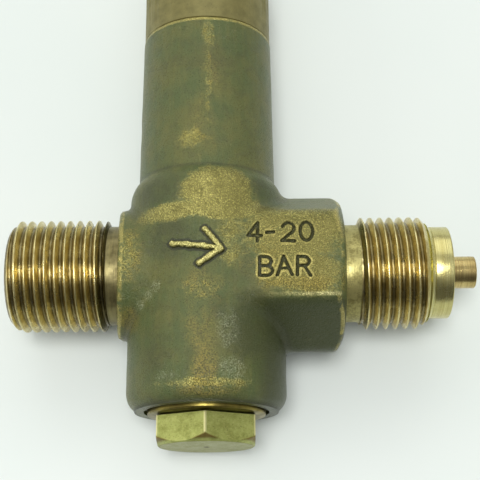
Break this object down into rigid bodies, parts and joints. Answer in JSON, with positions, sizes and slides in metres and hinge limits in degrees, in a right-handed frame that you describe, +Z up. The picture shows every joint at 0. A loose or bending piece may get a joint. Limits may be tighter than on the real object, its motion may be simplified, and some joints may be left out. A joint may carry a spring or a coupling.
{
  "type": "pressure relief valve",
  "caption": "Spring-loaded brass relief valve with threaded inlet, threaded gauge connection on a hexagon block, bottom plug and long adjustable spring column.",
  "frame": {"origin": "on the table under the middle of the valve's bounding box, with the valve lying on its back", "axes": "+X along the threaded connections toward the spigot end, +Y along the spring column away from the bottom plug, +Z up"},
  "size_m": [0.0864, 0.1184, 0.0288],
  "materials": {
    "valve_body": "forged, dark patina with worn high spots, machined threads",
    "bottom_plug": "machined, lightly worn",
    "plug_washer": "flat soft-metal washer, dull",
    "seat_ring": "turned",
    "seat_gasket": "soft copper alloy",
    "valve_disc": "turned",
    "disc_seal": "white fluoropolymer",
    "valve_stem": "ground",
    "guide_bush": "turned",
    "stem_o_ring": "black",
    "bush_o_ring": "black",
    "bush_lock_ring": "turned, two key slots",
    "thrust_ball": "polished",
    "lower_spring_plate": "turned",
    "main_spring": "coiled wire",
    "upper_spring_plate": "turned",
    "spring_cap": "turned, browned",
    "adjusting_screw": "machined thread, slotted end",
    "lock_nut": "machined",
    "cover_gasket": "white fluoropolymer",
    "cover_cap": "turned, grooved grip",
    "throttle_insert": "turned"
  },
  "bodies": {
    "housing": {"valve_body": "valve_body", "bottom_plug": "bottom_plug", "plug_washer": "plug_washer", "seat_ring": "seat_ring", "seat_gasket": "seat_gasket", "guide_bush": "guide_bush", "stem_o_ring": "stem_o_ring", "bush_o_ring": "bush_o_ring", "bush_lock_ring": "bush_lock_ring", "main_spring": "main_spring", "spring_cap": "spring_cap", "throttle_insert": "throttle_insert"},
    "valve_stack": {"valve_disc": "valve_disc", "disc_seal": "disc_seal", "valve_stem": "valve_stem", "thrust_ball": "thrust_ball", "lower_spring_plate": "lower_spring_plate"},
    "spring_seat": {"upper_spring_plate": "upper_spring_plate"},
    "screw": {"adjusting_screw": "adjusting_screw"},
    "nut": {"lock_nut": "lock_nut"},
    "cover_ring": {"cover_gasket": "cover_gasket"},
    "cover": {"cover_cap": "cover_cap"}
  },
  "joints": [
    {"name": "valve_lift", "type": "slide", "parent": "housing", "child": "valve_stack", "axis": [0, 1, 0], "range_m": [0, 0.0015], "stiffness_N_per_m": 8600, "springref_m": -0.0037, "deforming": ["main_spring"]},
    {"name": "screw_feed", "type": "slide", "parent": "housing", "child": "spring_seat", "axis": [0, 1, 0], "range_m": [-0.0025, 0.0025], "deforming": ["main_spring"]},
    {"name": "screw_turn", "type": "hinge", "parent": "spring_seat", "child": "screw", "pos_m": [-0.007, 0.0428, 0.0144], "axis": [0, 1, 0], "range_deg": [-722, 722]},
    {"name": "nut_loosen", "type": "hinge", "parent": "housing", "child": "nut", "pos_m": [-0.007, 0.0488, 0.0144], "axis": [0, 1, 0], "range_deg": [0, 45]},
    {"name": "cover_rise", "type": "slide", "parent": "housing", "child": "cover_ring", "axis": [0, 1, 0], "range_m": [0, 0.004]},
    {"name": "cover_turn", "type": "hinge", "parent": "cover_ring", "child": "cover", "pos_m": [-0.007, 0.0508, 0.0144], "axis": [0, 1, 0], "range_deg": [0, 1444]}
  ],
  "couplings": [
    {"joint": "screw_turn", "follows": "screw_feed", "rad_per_m": 5026.5},
    {"joint": "cover_turn", "follows": "cover_rise", "rad_per_m": 6283.2}
  ]
}
